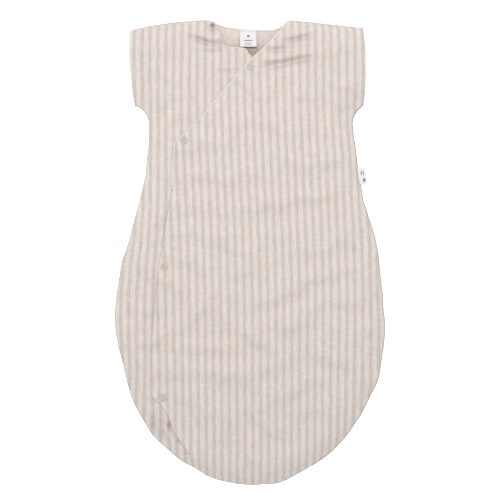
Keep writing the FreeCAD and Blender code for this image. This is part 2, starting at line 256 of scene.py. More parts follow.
def inside(points, loop):
    a, b = loop, np.roll(loop, -1, 0)
    found = []
    for chunk in np.array_split(points, max(1, len(points) // 3000)):
        x, y = chunk[:, :1], chunk[:, 1:]
        crosses = (a[:, 1] > y) != (b[:, 1] > y)
        where = a[:, 0] + (y - a[:, 1]) * (b[:, 0] - a[:, 0]) / (b[:, 1] - a[:, 1] + 1e-12)
        found.append((crosses & (x < where)).sum(1) % 2 == 1)
    return np.concatenate(found)


def ease(t):
    t = np.clip(t, 0, 1)
    return t * t * (3 - 2 * t)


def noise(x, y, size, seed):
    """Smooth noise from -1 to 1 that changes over that many millimetres."""
    table = np.random.default_rng(seed).uniform(-1, 1, (97, 97))
    u, v = np.asarray(x) / size + 31.7, np.asarray(y) / size + 47.3
    i, j = np.floor(u).astype(int), np.floor(v).astype(int)
    s, t = ease(u - i), ease(v - j)
    i, j, k, m = i % 97, j % 97, (i + 1) % 97, (j + 1) % 97
    low_row = table[i, j] * (1 - s) + table[k, j] * s
    high_row = table[i, m] * (1 - s) + table[k, m] * s
    return low_row * (1 - t) + high_row * t


SEAM_LINES = [
    joined(LEFT_SHOULDER, [LEFT_CUFF_TOP]),
    joined(LEFT_SIDE, RIGHT_SIDE, [RIGHT_CUFF_FOOT]),
    joined(RIGHT_SHOULDER, [RIGHT_NECK]),
]
LEFT_SEAMS = SEAM_LINES[:2]
RIGHT_SEAMS = SEAM_LINES[1:]


def seam_gap(points, lines=SEAM_LINES):
    return np.min([nearest(points, line)[0] for line in lines], axis=0)


# The cloth is gathered into a small pit where the neck edge meets the shoulder.
COLLAR_PIT = (-55.6, 340.0)

# Hollows in the under front beside the wrap's edge at the foot: the middle,
# how wide and how deep.
HOLLOWS = [
    ((-120.0, -261.0), 5.4, 6.0),
    ((-105.0, -283.5), 4.0, 3.8),
    ((-95.5, -302.0), 3.4, 3.2),
]

# Small places that need a finer mesh than the rest.
FINE_SPOTS = [(COLLAR_PIT, 12.0)] + [(spot, 2.6 * wide) for spot, wide, _ in HOLLOWS]
FINE_STEP = 1.5

# Folds and creases that the cloth has: their line, how wide and how deep.
FOLDS = [
    ([(22, 278), (48, 282), (68, 287), (98, 291)], 4.2, 9.5),
    ([(28, 301.5), (42, 303), (56, 305)], 3.2, 7.0),
    ([(44, 314), (62, 316.5), (74, 319.5), (99, 325.5)], 3.6, 8.0),
    ([(-90, 323), (-76, 318.5), (-61, 313), (-40, 311)], 3.6, 10.5),
    ([(-76, 301), (-56, 300.5), (-38, 301)], 3.0, 4.0),
    ([(-52, 269.5), (-34, 270), (-16, 271)], 3.4, 5.0),
    ([(-142, -238), (-143, -262), (-139, -278)], 3.4, 6.4),
    ([(-131, -240), (-130, -268), (-124, -284)], 3.4, 6.1),
    ([(-199, -63), (-172, -66), (-150, -68)], 5.0, 2.0),
    ([(-123, 4), (-112, 3), (-103, 4)], 3.0, 1.9),
    ([(-168, 300), (-130, 292), (-96, 286)], 8.0, 1.9),
    ([(160, 300), (120, 285), (92, 262)], 9.0, 2.3),
    ([(150, 205), (118, 216), (84, 222)], 9.0, 2.3),
    ([(-148, 200), (-128, 214), (-100, 226)], 8.0, 2.2),
    ([(120, 244), (152, 241)], 3.0, 1.4),
]


def crumple():
    """The front as one sheet, cut a little too large and held at its seams,
    is let go. It comes to rest in soft creases."""
    points, tris = triangles(BACK_LOOP, 7.0)
    d = seam_gap(points)
    x, y = points.T
    z = 4 + 14 * rise(d, 38) + 0.5 * noise(x, y, 14, 81)
    thing = mesh_object("crumple", np.column_stack([points, z]), tris)
    held = thing.vertex_groups.new(name="held")
    fuller = thing.vertex_groups.new(name="fuller")
    rim = nearest(points, closed(BACK_LOOP))[0] < 1.5
    for i, share in enumerate(np.exp(-d / 22).tolist()):
        held.add([i], 1.0 if rim[i] else 0.3, "REPLACE")
        fuller.add([i], share, "REPLACE")
    cloth = thing.modifiers.new("cloth", "CLOTH")
    settings = cloth.settings
    settings.quality = 5
    settings.mass = 0.1
    settings.tension_stiffness = 15
    settings.compression_stiffness = 15
    settings.shear_stiffness = 5
    settings.bending_stiffness = 20
    settings.air_damping = 2
    settings.vertex_group_mass = "held"
    settings.pin_stiffness = 0.3
    settings.vertex_group_shrink = "fuller"
    settings.shrink_min = -0.012
    settings.shrink_max = -0.06
    settings.effector_weights.gravity = 0
    cloth.collision_settings.use_collision = False
    cloth.point_cache.frame_end = 25
    for number in range(1, 26):
        bpy.context.scene.frame_set(number)
    there = thing.evaluated_get(bpy.context.evaluated_depsgraph_get())
    found = np.empty(len(points) * 3)
    there.data.vertices.foreach_get("co", found)
    change = found.reshape(-1, 3)[:, 2] / MM - z
    pairs = np.concatenate([tris[:, [0, 1]], tris[:, [1, 2]], tris[:, [2, 0]]])
    pairs = np.concatenate([pairs, pairs[:, ::-1]])
    count = np.bincount(pairs[:, 0], minlength=len(points))
    for _ in range(2):
        total = np.bincount(pairs[:, 0], weights=change[pairs[:, 1]], minlength=len(points))
        change = 0.5 * change + 0.5 * total / count
    bpy.context.scene.frame_set(1)
    bpy.data.objects.remove(thing)
    high_points = [(px, py, up) for (px, py), up in zip(points.tolist(), change.tolist())]
    return BVHTree.FromPolygons(high_points, tris.tolist())


def crumpled(points):
    """How far the sheet that crumple() leaves stands out at each point."""
    if CREASES is None:
        return np.zeros(len(points))
    hits = [CREASES.ray_cast((x, y, 90), (0, 0, -1))[0] for x, y in points.tolist()]
    return np.array([0.0 if hit is None else hit[2] for hit in hits])


def relief(points, gap):
    """How far the front of the bag stands above or below its even surface."""
    x, y = points.T
    up = 1.8 * noise(x, y * 0.8, 84, 1) + 1.4 * noise(x * 0.6, y, 33, 2)
    up += 0.5 * noise(x * 0.5, y, 12, 3) + 2.2 * crumpled(points)
    up *= ease(gap / 12)
    low = 1.0 + 4.5 * rise(gap, 50)
    up = np.where(up < 0, -low * np.tanh(-up / low), up)
    fold_share = ease(gap / 6)
    for line, wide, deep in FOLDS:
        line = evenly(np.array(line, float), 3)
        d, s, side, left = nearest(points, line)
        total = np.linalg.norm(np.diff(line, axis=0), axis=1).sum()
        taper = np.sin(np.pi * np.clip((s + wide) / (total + 2 * wide), 0, 1)) ** 0.7
        above = d * side * np.sign(left[:, 1] + 1e-9)
        shape = -np.exp(-((above / wide) ** 2))
        shape += 0.55 * np.exp(-(((above - 1.9 * wide) / (1.5 * wide)) ** 2))
        up += deep * taper * shape * fold_share
    for snap in SNAPS:
        r = np.hypot(x - snap[0], y - snap[1])
        up *= ease((r - 7) / 16)
    pit = np.hypot(x - COLLAR_PIT[0], y - COLLAR_PIT[1])
    up += 6.5 * np.exp(-(((pit - 5.4) / 2.4) ** 2)) * fold_share
    return up - 9 * np.exp(-((pit / 2.9) ** 2))


def hollows(points):
    """How far the under front sinks beside the wrap's edge at the foot."""
    down = np.zeros(len(points))
    for spot, wide, deep in HOLLOWS:
        r = np.linalg.norm(points - spot, axis=1)
        down -= deep * np.exp(-((r / wide) ** 2))
    return down


# The long seam is wavy: how far it goes in and out, over how much of its length
# that changes, and the seed. It has long swells with shorter puckers on them.
SEAM_WAVES = [(3.0, 64, 90), (1.3, 27, 91)]
# It stands out a little beside both corners of the foot: where, how far and how wide.
FULLER = [
    (LEFT_HEM, 3.5, 40),
    ((np.array(RIGHT_HEM) + RIGHT_HIP) / 2, 5.0, 60),
]
# Half the length of seam that the side label holds straight.
LABEL_HOLDS = 16


def drawn_in(points, s):
    """How far the long seam is drawn in, s being the place along it."""
    pull = sum(far * noise(s, 0 * s, size, seed) for far, size, seed in SEAM_WAVES)
    from_label = np.linalg.norm(points - middle("side_label"), axis=1)
    pull = pull * ease((from_label - LABEL_HOLDS) / 30)
    for spot, far, wide in FULLER:
        pull -= far * np.exp(-((np.linalg.norm(points - spot, axis=1) / wide) ** 2))
    return pull


def puckers(points, front=True):
    """Small ridges that run into the seams, and how far they move the edge."""
    up = np.zeros(len(points))
    move = np.zeros((len(points), 2))
    for number, line in enumerate(SEAM_LINES):
        d, s, _, left = nearest(points, line)
        wave = noise(s, d * 0.3, 9, 20 + number) + 0.7 * noise(s, d * 0.2, 24, 30 + number)
        up += 1.0 * wave * np.exp(-d / 16) * ease(d / 5)
        pull = 0.35 * noise(s, 0 * s, 9, 50 + number)
        if number == 1:
            pull += drawn_in(points, s)
        pull += 0.4 if front else -0.6
        move += (pull * np.exp(-d / 18))[:, None] * left
    return up, move


def rise(d, reach):
    """The share of the full height at that distance from a seam."""
    return 1 - (1 - np.clip(d / reach, 0, 1)) ** 2.1


def held_up(points, share):
    """The share of the full height, made whole round each snap."""
    for snap in SNAPS:
        r = np.linalg.norm(points - snap, axis=1)
        share = share + (1 - share) * np.exp(-((r / 13) ** 4))
    return share


def stitch_groove(points, lines):
    """The cloth sinks along a row of stitches."""
    down = np.zeros(len(points))
    for line in lines:
        d, s, _, _ = nearest(points, line)
        down -= 1.5 * np.exp(-((d / 2.0) ** 2))
        down += 0.35 * noise(s, d, 6, 60) * np.exp(-((d / 6) ** 2))
    return down


def hem_step(points, cuff, wide):
    """The sleeve's turned hem stands a little above the rest."""
    d, s, _, _ = nearest(points, cuff)
    return (1.5 + 0.6 * noise(s, d * 0.4, 7, 61)) * ease((wide - d) / 1.6)


def back_faces(points):
    """The heights of the back's two sides."""
    lift = np.clip(1 - seam_gap(points) / 14, 0, 1) ** 2
    x, y = points.T
    soft = 0.3 * noise(x, y, 40, 11) * (1 - lift)
    dents = np.clip(noise(x * 0.5, y, 17, 12), 0, 1)
    dents += 0.8 * np.clip(noise(x, y * 0.6, 48, 13), 0, 1)
    foot = 2.0 * lift + 0.7 * dents * (1 - lift)
    return foot, BACK_TOP - 0.3 + 1.2 * lift + soft


# The pit and the hollows stop at these heights, above the back.
LOWEST_FOOT, LOWEST_TOP = 3.0, 4.2


def under_faces(points, hollow=True):
    """The heights of the under front's two sides."""
    d = seam_gap(points, LEFT_SEAMS)
    up = relief(points, d) + puckers(points)[0] + stitch_groove(points, UNDER_STITCHES)
    if hollow:
        up += hollows(points)
    up += hem_step(points, LEFT_CUFF, LEFT_HEM_WIDE)
    r = held_up(points, rise(d, 52))
    foot = np.maximum(RIM_FOOT + (UNDER_FOOT - RIM_FOOT) * r + up, LOWEST_FOOT)
    return foot, np.maximum(RIM_TOP + (UNDER_TOP - RIM_TOP) * r + up, LOWEST_TOP)


def wrap_faces(points):
    """The heights of the wrap front's two sides. It lies on the under front
    as far as that one's free edge."""
    d = seam_gap(points, RIGHT_SEAMS)
    up = relief(points, d) + puckers(points)[0]
    up += hem_step(points, RIGHT_CUFF, RIGHT_HEM_WIDE)
    r = held_up(points, rise(d, 48))
    foot = RIM_FOOT + (WRAP_FOOT - RIM_FOOT) * r + up
    top = RIM_TOP + (WRAP_TOP - RIM_TOP) * r + up
    left_foot = under_faces(points, False)[1] + CLEAR
    free = np.interp(points[:, 1], [-312, 287], [-80.5, 7.0])
    q = 1 - ease((points[:, 0] - free + 5) / 25)
    over = WRAP_TOP - WRAP_FOOT
    groove = stitch_groove(points, WRAP_STITCHES)
    return foot * (1 - q) + left_foot * q, top * (1 - q) + (left_foot + over) * q + groove


def offset_line(line, gap):
    """The line moved to its right by that gap."""
    way = np.gradient(line, axis=0)
    way /= np.linalg.norm(way, axis=1)[:, None]
    return line + gap * np.stack([way[:, 1], -way[:, 0]], axis=1)


# The binding goes on a little way down the placket.
WRAP_BINDING = joined(offset_line(arc((-116.0, 92.0), (-111.5, 163.0)), -0.9), WRAP_NECK_EDGE)
PLACKET_STITCH = offset_line(WRAP_PLACKET_EDGE, 15.5)[3:-4]
LEFT_HEM_STITCH = offset_line(LEFT_CUFF, -LEFT_HEM_WIDE)[3:-2]
RIGHT_HEM_STITCH = offset_line(RIGHT_CUFF, -RIGHT_HEM_WIDE)[2:-3]
WRAP_STITCHES = [PLACKET_STITCH, RIGHT_HEM_STITCH]
UNDER_STITCHES = [LEFT_HEM_STITCH]


# ---------------------------------------------------------------------- meshes
def mesh_object(name, points, faces, cloth=None):
    """A mesh from points in millimetres, with a map of where each point was
    on the flat cloth, in metres."""
    mesh = bpy.data.meshes.new(name)
    mesh.from_pydata((np.asarray(points) * MM).tolist(), [], [list(f) for f in faces])
    mesh.validate()
    if cloth is not None:
        corner = np.empty(len(mesh.loops), int)
        mesh.loops.foreach_get("vertex_index", corner)
        layer = mesh.uv_layers.new(name="cloth")
        layer.data.foreach_set("uv", (np.asarray(cloth)[corner] * MM).astype(np.float32).ravel())
    mesh.shade_smooth()
    thing = bpy.data.objects.new(name, mesh)
    bpy.context.scene.collection.objects.link(thing)
    return thing


def honeycomb(low_corner, high_corner, step):
    """The corners of even triangles that fill a box."""
    rows = np.arange(low_corner[1], high_corner[1], step * 0.866)
    lines = []
    for number, row in enumerate(rows):
        xs = np.arange(low_corner[0], high_corner[0], step) + (step / 2 if number % 2 else 0)
        lines.append(np.stack([xs, np.full(len(xs), row)], axis=1))
    return np.concatenate(lines)


def triangles(loop, step, fine_spots=()):
    """The loop filled with even triangles, smaller ones round the fine spots,
    and two close rings inside its edge for rounding it."""
    edge = loop
    way = np.roll(edge, -1, 0) - np.roll(edge, 1, 0)
    way /= np.linalg.norm(way, axis=1)[:, None]
    inward = np.stack([-way[:, 1], way[:, 0]], axis=1)
    area = (edge[:, 0] * np.roll(edge[:, 1], -1) - np.roll(edge[:, 0], -1) * edge[:, 1]).sum()
    inward *= np.sign(area)
    rings = [edge]
    for gap in (0.35, ROUND_OFF):
        ring = edge + gap * inward
        keep = inside(ring, edge) & (nearest(ring, closed(edge))[0] > 0.75 * gap)
        rings.append(ring[keep])
    grid = honeycomb(edge.min(0), edge.max(0), step)
    patches = []
    for spot, reach in fine_spots:
        grid = grid[np.linalg.norm(grid - spot, axis=1) > reach]
        patch = honeycomb(np.array(spot) - reach, np.array(spot) + reach, FINE_STEP)
        patches.append(patch[np.linalg.norm(patch - spot, axis=1) < reach - 0.5 * FINE_STEP])
    for cells, size in [(grid, step)] + [(patch, FINE_STEP) for patch in patches]:
        cells = cells[inside(cells, edge)]
        if len(cells):
            rings.append(cells[nearest(cells, closed(edge))[0] > ROUND_OFF + 0.45 * size])
    points = np.concatenate(rings)
    count = len(edge)
    edges = [(i, (i + 1) % count) for i in range(count)]
    found = delaunay_2d_cdt([tuple(p) for p in points], edges, [], 1, 1e-5)
    verts = np.array([tuple(v) for v in found[0]])
    faces = np.array([tuple(f) for f in found[2]])
    a, b, c = (verts[faces[:, k]] for k in range(3))
    turn = (b[:, 0] - a[:, 0]) * (c[:, 1] - a[:, 1]) - (b[:, 1] - a[:, 1]) * (c[:, 0] - a[:, 0])
    faces[turn < 0] = faces[turn < 0][:, ::-1]
    return verts, faces


def rim_and_mirror(points, tris):
    """Which points are on the rim, and each point's number on the other side
    of a closed piece, where the two sides share the rim."""
    used = np.sort(np.concatenate([tris[:, [0, 1]], tris[:, [1, 2]], tris[:, [2, 0]]]), axis=1)
    pairs, count = np.unique(used, axis=0, return_counts=True)
    rim = np.zeros(len(points), bool)
    rim[pairs[count == 1].ravel()] = True
    mirror = np.cumsum(~rim) - 1 + len(points)
    mirror[rim] = np.flatnonzero(rim)
    return rim, mirror


def panel(name, loop, faces_of, part, step, flat, front=True):
    """A closed piece of cloth. faces_of gives the whole panel's under and
    upper side, and part is the share of that thickness the piece takes up,
    from 0 at the foot to 1 at the top."""
    points, tris = triangles(loop, step, FINE_SPOTS if front else ())
    rim, mirror = rim_and_mirror(points, tris)
    foot, top = faces_of(points)
    foot, top = foot + part[0] * (top - foot), foot + part[1] * (top - foot)
    e = nearest(points, closed(loop))[0]
    e[rim] = 0
    round_off = np.sqrt(1 - (1 - np.clip(e / ROUND_OFF, 0, 1)) ** 2)
    half = (top - foot) / 2 * round_off
    centre = (top + foot) / 2
    moved = points + puckers(points, front)[1]
    upper = np.column_stack([moved, centre + half])
    lower = np.column_stack([moved, centre - half])
    verts = np.concatenate([upper, lower[~rim]])
    faces = np.concatenate([tris, mirror[tris][:, ::-1]])
    cloth = flat(points)
    return mesh_object(name, verts, faces, np.concatenate([cloth, cloth[~rim]]))


def tube(name, path, wide, tall, sides=10):
    """A flattened round strip along a path of points in space."""
    path = np.asarray(path, float)
    way = np.gradient(path, axis=0)
    way /= np.linalg.norm(way, axis=1)[:, None]
    out = np.cross(way, [0, 0, 1])
    out /= np.linalg.norm(out, axis=1)[:, None]
    up = np.cross(out, way)
    angles = np.arange(sides) * 2 * np.pi / sides
    size = np.sin(np.pi * np.clip(np.arange(len(path)) / 2.0, 0, 0.5))
    size = np.minimum(size, size[::-1])[:, None, None] * 0.98 + 0.02
    ring = np.cos(angles)[:, None] * out[:, None] * wide / 2
    ring = ring + np.sin(angles)[:, None] * up[:, None] * tall / 2
    verts = (path[:, None] + ring * size).reshape(-1, 3)
    faces = []
    for i in range(len(path) - 1):
        for j in range(sides):
            k = (j + 1) % sides
            faces.append((i * sides + j, i * sides + k, (i + 1) * sides + k, (i + 1) * sides + j))
    last = (len(path) - 1) * sides
    faces.append(tuple(range(sides))[::-1])
    faces.append(tuple(last + j for j in range(sides)))
    along = np.concatenate([[0], np.cumsum(np.linalg.norm(np.diff(path, axis=0), axis=1))])
    cloth = np.stack(
        [np.repeat(along, sides), np.tile(np.arange(sides) * wide * 2 / sides, len(path))], axis=1
    )
    return mesh_object(name, verts, faces, cloth)


def on_top(line, faces_of, above):
    """The line laid on a panel's upper side."""
    top = faces_of(line)[1]
    return np.column_stack([line + puckers(line)[1], top + above])


def stitches(name, lines, faces_of, thread=0.5, long=2.5, gap=1.0, sides=6):
    """A row of thread stitches along each line."""
    verts, faces = [], []
    for line in lines:
        line = evenly(line, 0.5)
        path = on_top(line, faces_of, 0.12)
        pitch = int((long + gap) / 0.5)
        size = int(long / 0.5)
        for start in range(0, len(path) - size, pitch):
            piece = path[start : start + size + 1]
            picks = np.linspace(0, size, 5).astype(int)
            piece = piece[picks]
            way = piece[-1] - piece[0]
            way /= np.linalg.norm(way)
            out = np.cross(way, [0, 0, 1])
            up = np.cross(out, way)
            first = len(verts)
            for ring, swell in zip(piece, (0.35, 0.85, 1, 0.85, 0.35)):
                for j in range(sides):
                    angle = 2 * np.pi * j / sides
                    shift = np.cos(angle) * out + np.sin(angle) * up
                    verts.append(ring + shift * thread / 2 * swell - up * (1 - swell) * 0.3)
            for i in range(4):
                for j in range(sides):
                    k = (j + 1) % sides
                    a, b = first + i * sides, first + (i + 1) * sides
                    faces.append((a + j, a + k, b + k, b + j))
            faces.append(tuple(first + j for j in range(sides))[::-1])
            faces.append(tuple(first + 4 * sides + j for j in range(sides)))
    return mesh_object(name, np.array(verts), faces)


# ------------------------------------------------------------------- materials
def shader(name, roughness, sheen=0.0):
    material = bpy.data.materials.new(name)
    material.use_nodes = True
    nodes, links = material.node_tree.nodes, material.node_tree.links
    main = nodes["Principled BSDF"]
    main.inputs["Roughness"].default_value = roughness
    main.inputs["Specular IOR Level"].default_value = 0.2
    if sheen:
        main.inputs["Sheen Weight"].default_value = sheen
        main.inputs["Sheen Roughness"].default_value = 0.5
    return material, nodes, links, main


def linear(r, g, b):
    """An sRGB colour from 0 to 255 as linear RGBA."""
    c = np.array([r, g, b]) / 255
    c = np.where(c <= 0.04045, c / 12.92, ((c + 0.055) / 1.055) ** 2.4)
    return (*c.tolist(), 1.0)


def math_node(nodes, links, kind, a, b=None):
    node = nodes.new("ShaderNodeMath")
    node.operation = kind
    for socket, value in zip(node.inputs, (a, b)):
        if value is None:
            continue
        if isinstance(value, (int, float)):
            socket.default_value = value
        else:
            links.new(value, socket)
    return node.outputs[0]


def stretched_noise(nodes, links, vector, scale, size, detail=3.0):
    place = nodes.new("ShaderNodeMapping")
    place.inputs["Scale"].default_value = scale
    links.new(vector, place.inputs["Vector"])
    texture = nodes.new("ShaderNodeTexNoise")
    texture.inputs["Scale"].default_value = size
    texture.inputs["Detail"].default_value = detail
    links.new(place.outputs[0], texture.inputs["Vector"])
    return texture.outputs["Fac"]


def ranged(nodes, links, value, start=(0.0, 1.0), end=(0.0, 1.0), smooth=False):
    """The value, with the range from start moved to the range from end."""
    node = nodes.new("ShaderNodeMapRange")
    if smooth:
        node.interpolation_type = "SMOOTHSTEP"
    for name, number in zip(("From Min", "From Max", "To Min", "To Max"), (*start, *end)):
        node.inputs[name].default_value = number
    links.new(value, node.inputs["Value"])
    return node.outputs[0]


def add_bump(nodes, links, main, height, strength, distance):
    bumper = nodes.new("ShaderNodeBump")
    bumper.inputs["Strength"].default_value = strength
    bumper.inputs["Distance"].default_value = distance
    links.new(height, bumper.inputs["Height"])
    links.new(bumper.outputs[0], main.inputs["Normal"])


def mix_colour(nodes, links, fac, a, b, kind="MIX"):
    node = nodes.new("ShaderNodeMix")
    node.data_type = "RGBA"
    node.blend_type = kind
    for socket, value in ((node.inputs[0], fac), (node.inputs[6], a), (node.inputs[7], b)):
        if isinstance(value, (int, float, tuple)):
            socket.default_value = value
        else:
            links.new(value, socket)
    return node.outputs[2]


# The distance between two threads of the weave, in metres.
WEAVE = 0.0009


def muslin(name, light, dark, period, share, crinkle, bump, painted_shade=None):
    """Striped crinkled muslin, its stripes running along the cloth's length.
    The period is in metres and the crinkle in millimetres. Below the first of the shade's heights
    the cloth is darkened by its tint, a painted shade, which is gone above the second."""
    material, nodes, links, main = shader(name, 0.92, 0.12)
    uv = nodes.new("ShaderNodeUVMap")
    uv.uv_map = "cloth"
    flat = uv.outputs[0]
    split = nodes.new("ShaderNodeSeparateXYZ")
    links.new(flat, split.inputs[0])
    u, v = split.outputs[0], split.outputs[1]

    def spread(size, scale, detail=3.0):
        return stretched_noise(nodes, links, flat, scale, size, detail)

    def calculate(kind, first, second=None):
        return math_node(nodes, links, kind, first, second)

    def multiplied(first, second):
        return mix_colour(nodes, links, 1.0, first, second, "MULTIPLY")

    wander = calculate("SUBTRACT", spread(420.0, (1, 0.2, 1), 2.0), 0.5)
    along = calculate("ADD", u, calculate("MULTIPLY", wander, 0.16 * period))
    wave = calculate("COSINE", calculate("MULTIPLY", along, 2 * math.pi / period))
    edge = math.cos(math.pi * share)
    dark_share = ranged(nodes, links, wave, (edge - 0.42, edge + 0.42), smooth=True)
    colour = mix_colour(nodes, links, dark_share, light, dark)
    fine = spread(900.0, (1, 0.12, 1))
    # Painted shade of small crinkles: the colour goes a little darker and lighter in short
    # crosswise patches.
    crinkle_shade = spread(240.0, (0.45, 1, 1))
    streaked = spread(380.0, (1, 0.14, 1))
    broad = spread(85.0, (1, 0.22, 1), 2.0)
    middle_part = (0.3, 0.7)
    colour = multiplied(colour, ranged(nodes, links, fine, end=(0.9, 1.08)))
    colour = multiplied(colour, ranged(nodes, links, crinkle_shade, middle_part, (0.95, 1.04)))
    colour = multiplied(colour, ranged(nodes, links, streaked, middle_part, (0.94, 1.05)))
    warm = ranged(nodes, links, broad, middle_part)
    tint = mix_colour(nodes, links, warm, linear(252, 249, 252), linear(255, 252, 247))
    colour = multiplied(colour, tint)
    # Painted shade: below the first height the colour is multiplied by the shade tint.
    if painted_shade:
        unshaded_share = ranged(nodes, links, v, painted_shade[:2])
        shade_tint = mix_colour(nodes, links, unshaded_share, painted_shade[2], (1.0, 1.0, 1.0, 1.0))
        colour = multiplied(colour, shade_tint)
    links.new(colour, main.inputs["Base Color"])
    creased = spread(1000 / crinkle, (1, 0.22, 1))
    cross = spread(1000 / (crinkle * 1.6), (0.5, 1, 1), 2.0)
    weave_u = calculate("SINE", calculate("MULTIPLY", u, 2 * math.pi / WEAVE))
    weave_v = calculate("SINE", calculate("MULTIPLY", v, 2 * math.pi / WEAVE))
    weave = calculate("MULTIPLY", calculate("MULTIPLY", weave_u, weave_v), 0.06)
    height = calculate("ADD", creased, calculate("MULTIPLY", cross, 0.5))
    add_bump(nodes, links, main, calculate("ADD", height, weave), bump, 0.0012)
    return material


def plain_cloth(name, colour, size, bump=0.4):
    """Cloth of one colour, its grain that many millimetres large."""
    material, nodes, links, main = shader(name, 0.9, 0.1)
    space = nodes.new("ShaderNodeTexCoord")
    fine = stretched_noise(nodes, links, space.outputs["Object"], (1, 1, 1), 1000 / size)
    speckled = ranged(nodes, links, fine, end=(0.93, 1.05))
    tinted = mix_colour(nodes, links, 1.0, colour, speckled, "MULTIPLY")
    links.new(tinted, main.inputs["Base Color"])
    add_bump(nodes, links, main, fine, bump, 0.0005)
    return material


def snap_finish(name):
    material, nodes, links, main = shader(name, 0.5)
    space = nodes.new("ShaderNodeTexCoord")
    fine = stretched_noise(nodes, links, space.outputs["Object"], (1, 1, 1), 900.0)
    colour = mix_colour(nodes, links, fine, linear(171, 163, 154), linear(188, 181, 172))
    links.new(colour, main.inputs["Base Color"])
    add_bump(nodes, links, main, fine, 0.15, 0.0002)
    return material


# One light and one dark stripe of the shell, and one rib of the lining, in metres.
STRIPE, RIB_WIDE = 0.0118, 0.0029
LIGHT, DARK = linear(206, 200, 195), linear(191, 182, 177)
SHELL = muslin("striped_muslin", LIGHT, DARK, STRIPE, 0.44, 3.2, 0.9)
RIB, RIB_SHADE = linear(217, 209, 204), linear(196, 184, 176)
INSIDE = muslin("ribbed_lining", RIB, RIB_SHADE, RIB_WIDE, 0.36, 2.4, 0.8)
# The back's lining is darker below the neck opening: painted shade for the shadow of the fronts
# and the neck label.
IN_SHADE = (0.303, 0.315, (0.78, 0.70, 0.64, 1.0))
BACK_INSIDE = muslin("ribbed_back_lining", RIB, RIB_SHADE, RIB_WIDE, 0.36, 2.4, 0.8, IN_SHADE)
EDGE = plain_cloth("bias_edge", linear(206, 199, 193), 1.6)
# Painted shade: the side and hem seams are dark grey, standing in for the shaded edge of the bag.
SEAM_SHADE = plain_cloth("seam_painted_shade", linear(160, 158, 153), 1.2)
THREAD = plain_cloth("thread", linear(214, 206, 198), 0.5)
LABEL = plain_cloth("label_satin", linear(211, 209, 209), 0.6, 0.15)
MARK = plain_cloth("label_mark", linear(120, 118, 120), 0.4, 0.1)
METAL = snap_finish("snap_ring_paint")


# ------------------------------------------------------------- flat cloth maps
def at_height(y, heights, values):
    """The value at each height. It changes smoothly between the two heights."""
    share = ease((heights[0] - y) / (heights[0] - heights[1]))
    return values[0] + share * (values[1] - values[0])


# The stripes lean sideways on their way down each front: between which heights,
# and how far to the right they are above and below them, in millimetres.
WRAP_LEAN = ((300, -90), (1.5, 13.5))
UNDER_LEAN = ((80, -80), (2.0, -5.5))
# The share of its width that the wrap's cloth is gathered by above and below
# those heights, and the line that it is gathered to.
GATHER = ((-70, -240), (0.0, 0.02))
GATHER_LINE = 45
# Where the middle of a light stripe is.
STRIPE_START = 2.1


def wrap_flat(points):
    x, y = points.T
    wave = 0.5 * noise(x, y * 0.7, 60, 71) + at_height(y, *GATHER) * (x - GATHER_LINE)
    return np.column_stack([x - at_height(y, *WRAP_LEAN) - STRIPE_START + wave, y])


def under_flat(points):
    x, y = points.T
    wave = 0.5 * noise(x, y * 0.7, 60, 72)
    return np.column_stack([x - at_height(y, *UNDER_LEAN) - STRIPE_START + wave, y])


def rib_flat(points):
    """The ribs inside are gathered a little below the back neck."""
    x, y = points.T
    deep = np.clip(LEFT_NECK[1] - y, 0, 70)
    return np.column_stack([x * (1 + 0.004 * deep), y])


# ---------------------------------------------------------------------- pieces
WRAP_PIVOT, WRAP_AXIS = hinge("wrap_flap_fold")
UNDER_PIVOT, UNDER_AXIS = hinge("under_flap_fold")


def bend(piece, axis, side):
    """Works out the way across a flap's hinge line on the flap's side but does not use it: the
    piece only has its transform baked into its mesh and does not fold. side is 1 where the flap
    lies to the right of its line."""
    out = np.array([axis[1], -axis[0], 0]) / math.hypot(axis[0], axis[1])
    out *= side * np.sign(out[0])
    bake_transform(piece)
    return piece


def dress(piece, material):
    """Gives the piece its material."""
    piece.data.materials.append(material)
    return piece


CREASES = crumple()
# The lining's share of a panel's thickness, the gap between the lining and the
# rest, as a share too, the cell size of a panel's mesh and that of a lining's.
SPLIT = LINING / (WRAP_TOP - WRAP_FOOT)
GAP = 0.02
STEP = 3.2
LINING_STEP = 1.3 * STEP


def make_back():
    cloth = panel("back_cloth", BACK_LOOP, back_faces, (0, 1 - SPLIT), STEP, wrap_flat, False)
    dress(cloth, SHELL)
    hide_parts("back_shell", "back_wadding")
    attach(cloth, "bag")
    share = (1 - SPLIT + GAP, 1)
    lining = panel("back_inside", BACK_LOOP, back_faces, share, LINING_STEP, rib_flat, False)
    dress(lining, BACK_INSIDE)
    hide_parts("back_lining")
    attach(lining, "bag")
    line = on_top(evenly(BACK_NECK, 2.5), back_faces, -1.0)
    tape = tube("back_neck_binding", line, 3.4, 3.4)
    dress(tape, EDGE)
    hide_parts("back_neck_tape")
    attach(tape, "bag")


# The height of the seams between the fronts and the back.
SEAM_HEIGHT = 4.1


def make_seams():
    """The fronts are sewn to the back along these lines."""
    lines = {
        "side_seam_left": LEFT_SIDE[:105],
        "hem_seam": joined(LEFT_SIDE[104:], RIGHT_SIDE[:70]),
        "side_seam_right": RIGHT_SIDE[69:],
        "shoulder_seam_left": LEFT_SHOULDER[::-1],
        "shoulder_seam_right": RIGHT_SHOULDER[::-1],
    }
    # How far each seam lies inside the cloth's edge. It shows most on the right.
    tucked = {"side_seam_right": -0.3, "hem_seam": 0.2}
    for name, line in lines.items():
        path = evenly(line, 2.0)
        shift = puckers(path)[1] + tucked.get(name, 0.9) * nearest(path, line)[3]
        height = np.full(len(path), SEAM_HEIGHT)
        seam = tube(name + "_cloth", np.column_stack([path + shift, height]), 2.8, 2.2)
        # The side and hem seams take the dark grey of painted shade.
        dress(seam, SHELL if name.startswith("shoulder") else SEAM_SHADE)
        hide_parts(name)
        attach(seam, "bag")


